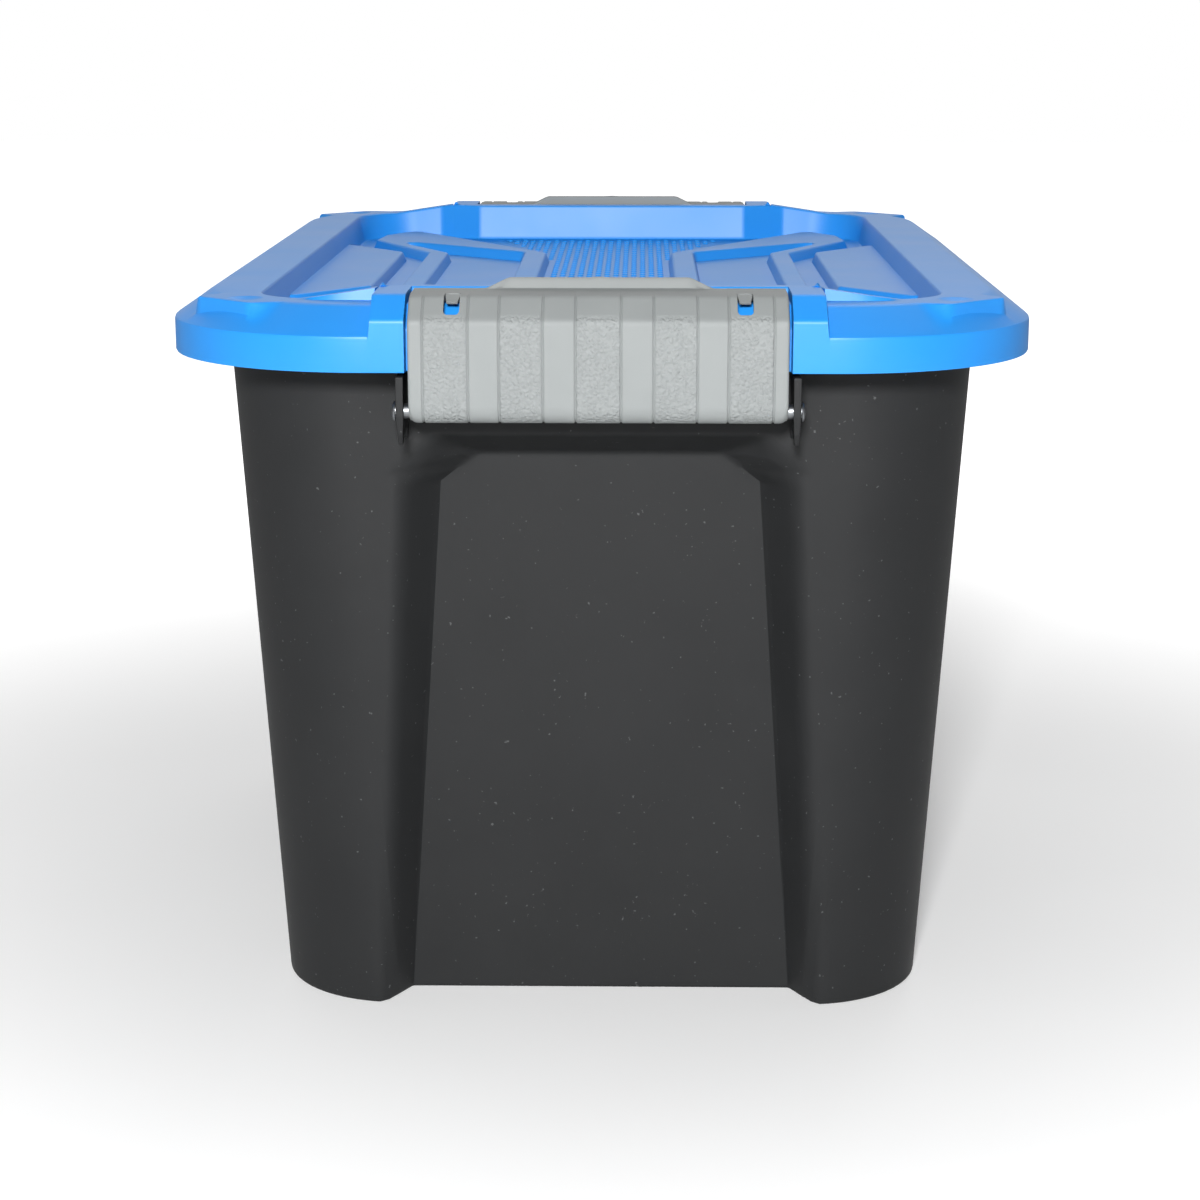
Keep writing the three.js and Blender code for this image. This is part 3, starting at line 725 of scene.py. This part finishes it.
latchSize = {
    "half": 89.5, "top": 369.8, "tabTop": 375.7, "tabHalf": 43.0, "tabFoot": 55.0,
    "grooves": [10.7, 26.0, 46.6, 61.2, 82.5], "grooveHalf": 0.8, "grooveDepth": 0.7,
    "curlIn": 7.2, "curlZ": 319.2, "curl": 9.2, "curlInside": 6.2, "cornerRound": 4.0,
    "slotMiddle": 69.0, "slotHalf": 3.8, "slotY": -293.4, "slotZ": 367.2, "slotLong": 20.4,
    "slotDeep": 11.6, "slotRound": 2.2, "endRound": 1.6,
    "ribs": [-61.2, -26.0, 0.0, 26.0, 61.2], "ribHalf": 1.1, "ribRound": 0.3,
    "ribProfile": [(0.2, 355), (0.2, 318), (3.2, 320), (3.2, 353)],
    "knuckleFrom": 80.5, "knuckleShort": 0.2, "knuckleRound": 0.7,
    "knuckleProfile": [(0, 315), (2.6, 312.6), (6, 311.2), (11.8, 311), (12.8, 314), (12.4, 319),
                       (9, 322.5), (4.4, 326), (0, 328)],
    "tongue": [(-3.7, 19.0, 369.6), (3.7, 19.0, 369.6), (2.7, 9.4, 367.0), (-2.7, 9.4, 367.0)],
    "tongueThick": (0, 0.9, -1.2), "tongueRound": 0.25,
}


def latchSection(x):                   # closed section: (inset from the end skirt, height, takes grooves)
    s = latchSize
    arc = lambda radius, a: (s["curlIn"] + radius * cos(radians(a)), s["curlZ"] + radius * sin(radians(a)))
    rise = clamp((s["tabFoot"] - abs(x)) / (s["tabFoot"] - s["tabHalf"]))
    tabTop = mix(s["top"], s["tabTop"], rolled(rise, 0.22, 0.22) if 0 < abs(x) else 1.0)
    lift = (tabTop - s["top"]) / (s["tabTop"] - s["top"])
    points = [(12.2, 310.0, 0), (9.5, 310.0, 1)]
    points += [arc(s["curl"], a) + (1,) for a in (270, 259, 248, 237, 226, 215, 204, 192, 180)]
    points += [(-2, 330, 1), (-2, 345, 1), (-2, 356.6, 1), (-1.8, 358.4, 1), (-1.1, 359.7, 1),
               (0.3, 360.9, 1), (5.3, 365.0, 1), (9.3, 368.4, 1), (10.9, 369.4, 1), (12.8, 369.8, 1)]
    points += [(20, s["top"], 0), (32, s["top"], 0), (mix(38.5, 36.6, lift), s["top"], 0),
               (mix(39.2, 38.6, lift), mix(s["top"], 370.6, lift), 0),
               (39.6, mix(s["top"], tabTop - 1.6, lift), 0), (39.9, mix(s["top"], tabTop - 0.5, lift), 0),
               (40.6, tabTop, 0), (41.6, tabTop, 0), (42.3, tabTop - 0.5, 0), (42.5, tabTop - 1.4, 0)]
    points += [(42.5, 368, 0), (42.4, 367.2, 0), (41.8, 366.8, 0), (30, 366.8, 0), (13.4, 366.8, 0),
               (11.8, 366.2, 0), (6.4, 361.9, 0), (1.6, 357.9, 0), (1.0, 356.4, 0), (1.0, 345, 0),
               (1.0, 330, 0)]
    points += [arc(s["curlInside"], a) + (0,) for a in (180, 200, 220, 240, 255, 270)]
    points += [(11.6, 313.0, 0), (12.3, 312.6, 0), (12.5, 311.8, 0), (12.5, 310.6, 0)]
    return points


def latchRing(x):
    s = latchSize
    section = latchSection(x)
    sunk = 0.0
    for groove in s["grooves"]:
        away = abs(abs(x) - groove)
        if away < s["grooveHalf"]:
            sunk = max(sunk, s["grooveDepth"] * (1 - away / s["grooveHalf"]) ** 0.8)
    fromEnd = s["half"] - abs(x)
    edge = s["endRound"]
    if fromEnd < edge:
        sunk = max(sunk, edge - sqrt(max(0.0, edge ** 2 - (edge - fromEnd) ** 2)))
    beyond = clamp(abs(x) - (s["half"] - s["cornerRound"]), 0, s["cornerRound"])
    raisedBy = s["cornerRound"] - sqrt(s["cornerRound"] ** 2 - beyond ** 2)
    ring = []
    for i, (inset, z, follows) in enumerate(section):
        before, after = section[i - 1], section[(i + 1) % len(section)]
        along = Vector((after[0] - before[0], after[1] - before[1])).normalized()
        depth = sunk * follows
        inset, z = inset + along.y * depth, z - along.x * depth
        z += raisedBy * clamp((321 - z) / 9)
        ring.append(Vector((x, inset - endY, z)))
    return ring


def addPrism(bm, points, fromX, toX, edgeRound):    # a rounded bar along X from an [inset, height] profile
    bar = bmesh.new()
    face = bar.faces.new([bar.verts.new((fromX, inset - endY, z)) for inset, z in points])
    grown = bmesh.ops.extrude_face_region(bar, geom=[face])["geom"]
    fresh = [v for v in grown if isinstance(v, bmesh.types.BMVert)]
    bmesh.ops.translate(bar, verts=fresh, vec=(toX - fromX, 0, 0))
    bmesh.ops.bevel(bar, geom=list(bar.edges), offset=edgeRound, segments=2, affect="EDGES",
                    profile=0.5, material=-1, clamp_overlap=True)
    bmesh.ops.recalc_face_normals(bar, faces=bar.faces)
    bm.from_mesh(toMesh(bar, "bar"))


def latchMesh():
    s = latchSize
    g = s["grooveHalf"]
    half = {0, 5, 15, 20, 31, 36, 39, 40.5, 42, 43.5, 45, 48.5, 50.5, 52, 53, 54, 55.5, 57, 65, 69, 73, 78,
            84.5, 85.5, 86.6, 87.5, 88.2, 88.7, 89.1, 89.35, 89.5}
    for groove in s["grooves"]:
        half |= {groove - g, groove - g / 2, groove, groove + g / 2, groove + g}
    columns = sorted({-x for x in half} | half)
    bm = bmesh.new()
    firstRing, lastRing = loft(bm, [latchRing(x) for x in columns])
    capRing(bm, firstRing)
    capRing(bm, lastRing)
    bmesh.ops.recalc_face_normals(bm, faces=bm.faces)
    cover = toMesh(bm, "cover")
    cutter = bmesh.new()
    for side in (-1, 1):
        slot = bmesh.new()
        place = Matrix.Translation((s["slotMiddle"] * side, s["slotY"], s["slotZ"]))
        shape = Matrix.Diagonal((2 * s["slotHalf"], s["slotLong"], s["slotDeep"], 1))
        bmesh.ops.create_cube(slot, size=1, matrix=place @ shape)
        upright = [e for e in slot.edges if abs(e.verts[0].co.z - e.verts[1].co.z) > 1]
        bmesh.ops.bevel(slot, geom=upright, offset=s["slotRound"], segments=5, affect="EDGES",
                        profile=0.5, material=-1)
        cutter.from_mesh(toMesh(slot, "slot"))
    whole = bmesh.new()
    whole.from_mesh(cutBy(cover, toMesh(cutter, "slots"), "latch"))
    for x in s["ribs"]:
        addPrism(whole, s["ribProfile"], x - s["ribHalf"], x + s["ribHalf"], s["ribRound"])
    for side in (-1, 1):
        ends = sorted((s["knuckleFrom"] * side, (s["half"] - s["knuckleShort"]) * side))
        addPrism(whole, s["knuckleProfile"], ends[0], ends[1], s["knuckleRound"])
        tongue = bmesh.new()           # the moulded tongue that hangs in each window
        face = tongue.faces.new([tongue.verts.new((x + s["slotMiddle"] * side, inset - endY, z))
                                 for x, inset, z in s["tongue"]])
        grown = bmesh.ops.extrude_face_region(tongue, geom=[face])["geom"]
        fresh = [v for v in grown if isinstance(v, bmesh.types.BMVert)]
        bmesh.ops.translate(tongue, verts=fresh, vec=s["tongueThick"])
        bmesh.ops.bevel(tongue, geom=list(tongue.edges), offset=s["tongueRound"], segments=2,
                        affect="EDGES", profile=0.5, material=-1)
        bmesh.ops.recalc_face_normals(tongue, faces=tongue.faces)
        whole.from_mesh(toMesh(tongue, "tongue"))
    return toMesh(whole, "latch")


frontMesh = latchMesh()
rearMesh = frontMesh.copy()
rearMesh.transform(Matrix.Rotation(pi, 4, "Z"))
finishPiece(frontMesh, "latchCover_front", latchMaterial, "latch_front",
            ["latch_front"], 38)
finishPiece(rearMesh, "latchCover_rear", latchMaterial, "latch_rear",
            ["latch_rear"], 38)
print("latches made", len(frontMesh.polygons))


# Pivot pins

pinSize = {
    "inset": 7.0, "z": 315.6, "steps": 32,
    "profile": [(82.5, 0.0), (82.5, 2.7), (82.7, 3.2), (83.2, 3.5), (96.1, 3.5), (96.1, 4.4), (96.3, 4.8),
                (96.8, 4.75), (97.3, 4.2), (97.65, 3.0), (97.85, 1.5), (97.9, 0.0)],
}


def makePin(name, side, end):
    s = pinSize
    bm = bmesh.new()
    verts = [bm.verts.new((x, radius, 0)) for x, radius in s["profile"]]
    edges = [bm.edges.new(pair) for pair in zip(verts, verts[1:])]
    bmesh.ops.spin(bm, geom=verts + edges, cent=(0, 0, 0), axis=(1, 0, 0), angle=2 * pi,
                   steps=s["steps"], use_merge=True)
    bmesh.ops.remove_doubles(bm, verts=bm.verts, dist=0.001)
    bmesh.ops.recalc_face_normals(bm, faces=bm.faces)
    if side < 0:
        bmesh.ops.rotate(bm, verts=bm.verts, cent=(0, 0, 0), matrix=Matrix.Rotation(pi, 3, "Z"))
    bmesh.ops.translate(bm, verts=bm.verts, vec=(0, end * (endY - s["inset"]), s["z"]))
    node = name.replace("Steel", "")
    return finishPiece(toMesh(bm, name), name, pinMaterial, "tub", [node], 50)


makePin("pivot_pinSteel_front_a", 1, -1)
makePin("pivot_pinSteel_front_b", -1, -1)
makePin("pivot_pinSteel_rear_a", -1, 1)
makePin("pivot_pinSteel_rear_b", 1, 1)
print("pins made")


# Camera, floor and light

stage = {
    "cameraAt": (0.0201, -1.5194, 0.5061), "tilt": 76.994, "turn": 0.908, "lens": 78.14,
    "floorColour": "#fafafa", "floorShade": "#f0f0f0", "floorHalf": 8.0,
    # painted light on the floor, seen only by the camera: where its glow starts, where it is full, and its
    # strength near the tote
    "paintedGlowFrom": 0.25, "paintedGlowTo": 1.3, "paintedGlowLeast": 0.12,
    "worldDim": 0.1, "worldBright": 1.0, "wallFrom": 0.45, "wallTo": 0.85,
    "keyPower": 80, "keySize": 0.35, "keyAt": (-0.1, -2.5, 1.15),
    "sidePower": 2.5, "sideSize": 1.4, "leftAt": (-2.6, 0.4, 0.9), "rightAt": (2.6, 0.4, 0.9),
    "rearPower": 9, "rearAt": (0.3, 1.9, 2.3), "aimAt": (0, 0, 0.25),
}

cameraData = bpy.data.cameras.new("camera")
cameraData.lens = stage["lens"]
cameraData.sensor_width = 36
camera = bpy.data.objects.new("camera", cameraData)
camera.location = stage["cameraAt"]
camera.rotation_euler = (radians(stage["tilt"]), 0, radians(stage["turn"]))
bpy.context.scene.collection.objects.link(camera)
bpy.context.scene.camera = camera

floorMaterial, floorTree, floorShader, floorPlace = newMaterial("paleFloorPaint", {"Roughness": 0.9})
floorCloud = addNode(floorTree, "ShaderNodeTexNoise", values={"Scale": 3.0}, links={"Vector": floorPlace})
floorTone = addNode(floorTree, "ShaderNodeMix", {"data_type": "RGBA"},
                    {"A": linearColour(stage["floorColour"]), "B": linearColour(stage["floorShade"])},
                    {"Factor": floorCloud.outputs["Fac"]})
floorTree.links.new(floorTone.outputs["Result"], floorShader.inputs["Base Color"])
# Painted light: the floor's emission shows only to the camera and lights nothing. It is weakest near the
# tote, where it still lifts the floor's shadows, and white far off.
floorReach = addNode(floorTree, "ShaderNodeVectorMath", {"operation": "LENGTH"}, links={0: floorPlace})
floorPaintedGlowRamp = addNode(floorTree, "ShaderNodeMapRange", {"interpolation_type": "SMOOTHSTEP"}, {
    "From Min": stage["paintedGlowFrom"], "From Max": stage["paintedGlowTo"], "To Min": stage["paintedGlowLeast"],
    "To Max": 1.0},
    {"Value": floorReach.outputs["Value"]})    # painted light: a camera-only glow, faint near the tote where it lifts the floor and its shadows, rising to plain white further off like a lit cove
floorShader.inputs["Emission Color"].default_value = (1, 1, 1, 1)
floorSeen = addNode(floorTree, "ShaderNodeLightPath").outputs["Is Camera Ray"]
floorPaintedGlow = addNode(floorTree, "ShaderNodeMath", {"operation": "MULTIPLY"},
                    links={0: floorPaintedGlowRamp.outputs["Result"], 1: floorSeen})
floorTree.links.new(floorPaintedGlow.outputs["Value"], floorShader.inputs["Emission Strength"])
floorMesh = bmesh.new()
bmesh.ops.create_grid(floorMesh, x_segments=2, y_segments=2, size=stage["floorHalf"])
floor = bpy.data.objects.new("floor", toMesh(floorMesh, "floor"))
floor.data.materials.append(floorMaterial)
bpy.context.scene.collection.objects.link(floor)

world = bpy.data.worlds.new("studio")
bpy.context.scene.world = world
world.use_nodes = True
world.node_tree.nodes.clear()
skyPlace = addNode(world.node_tree, "ShaderNodeTexCoord").outputs["Generated"]
skyAxes = addNode(world.node_tree, "ShaderNodeSeparateXYZ", links={"Vector": skyPlace})
skyGlow = addNode(world.node_tree, "ShaderNodeMapRange", {"interpolation_type": "SMOOTHSTEP"}, {
    "From Min": stage["wallFrom"], "From Max": stage["wallTo"], "To Min": stage["worldDim"],
    "To Max": stage["worldBright"]},
    {"Value": skyAxes.outputs["Y"]})   # a white wall behind the tote, softer light elsewhere
seen = addNode(world.node_tree, "ShaderNodeLightPath").outputs["Is Camera Ray"]
skyShown = addNode(world.node_tree, "ShaderNodeMath", {"operation": "MAXIMUM"},
                   links={0: seen, 1: skyGlow.outputs["Result"]})
sky = addNode(world.node_tree, "ShaderNodeBackground", values={"Color": (1, 1, 1, 1)},
              links={"Strength": skyShown.outputs["Value"]})
addNode(world.node_tree, "ShaderNodeOutputWorld", links={"Surface": sky.outputs["Background"]})


def addSoftLight(name, power, size, at):
    data = bpy.data.lights.new(name, "AREA")
    data.energy = power
    data.size = size
    light = bpy.data.objects.new(name, data)
    light.location = at
    light.rotation_euler = (Vector(stage["aimAt"]) - Vector(at)).to_track_quat("-Z", "Y").to_euler()
    bpy.context.scene.collection.objects.link(light)


bpy.context.scene.view_settings.view_transform = "Standard"    # whites stay white, the blue stays clean
addSoftLight("keyLight", stage["keyPower"], stage["keySize"], stage["keyAt"])
addSoftLight("leftLight", stage["sidePower"], stage["sideSize"], stage["leftAt"])
addSoftLight("rightLight", stage["sidePower"], stage["sideSize"], stage["rightAt"])
addSoftLight("rearLight", stage["rearPower"], stage["sideSize"], stage["rearAt"])
print("stage set")
